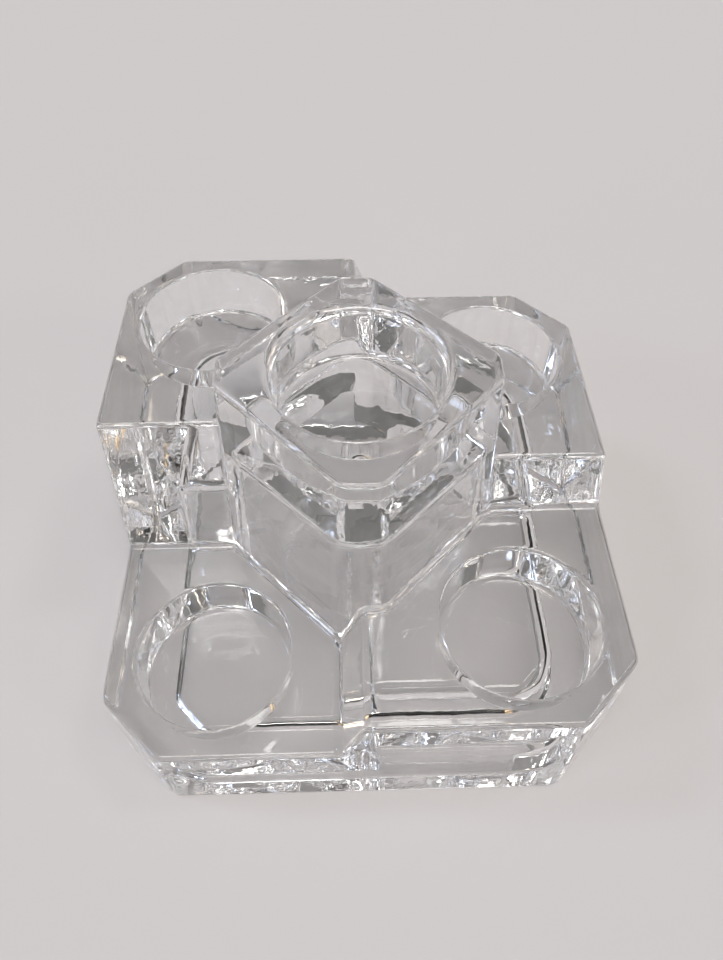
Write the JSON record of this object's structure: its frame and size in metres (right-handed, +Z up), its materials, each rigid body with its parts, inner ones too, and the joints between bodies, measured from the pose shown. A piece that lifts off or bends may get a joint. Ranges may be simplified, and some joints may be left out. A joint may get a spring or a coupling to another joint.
{
  "type": "inkwell",
  "caption": "Clear pressed-glass desk holder: square stepped blocks climb a spiral stair round a taller turned centre block, each with an open round well.",
  "frame": {"origin": "middle of the foot, on the surface that the body stands on", "axes": "+Z up; the front, with the two lowest blocks, faces -Y; +X to the right, seen from the front"},
  "size_m": [0.13, 0.13, 0.0885],
  "materials": {
    "clear_glass": "clear colourless pressed glass, fire-polished"
  },
  "bodies": {
    "root": {"front_left_block": "clear_glass", "front_right_block": "clear_glass", "back_right_block": "clear_glass", "back_left_block": "clear_glass", "centre_block": "clear_glass"}
  },
  "joints": []
}
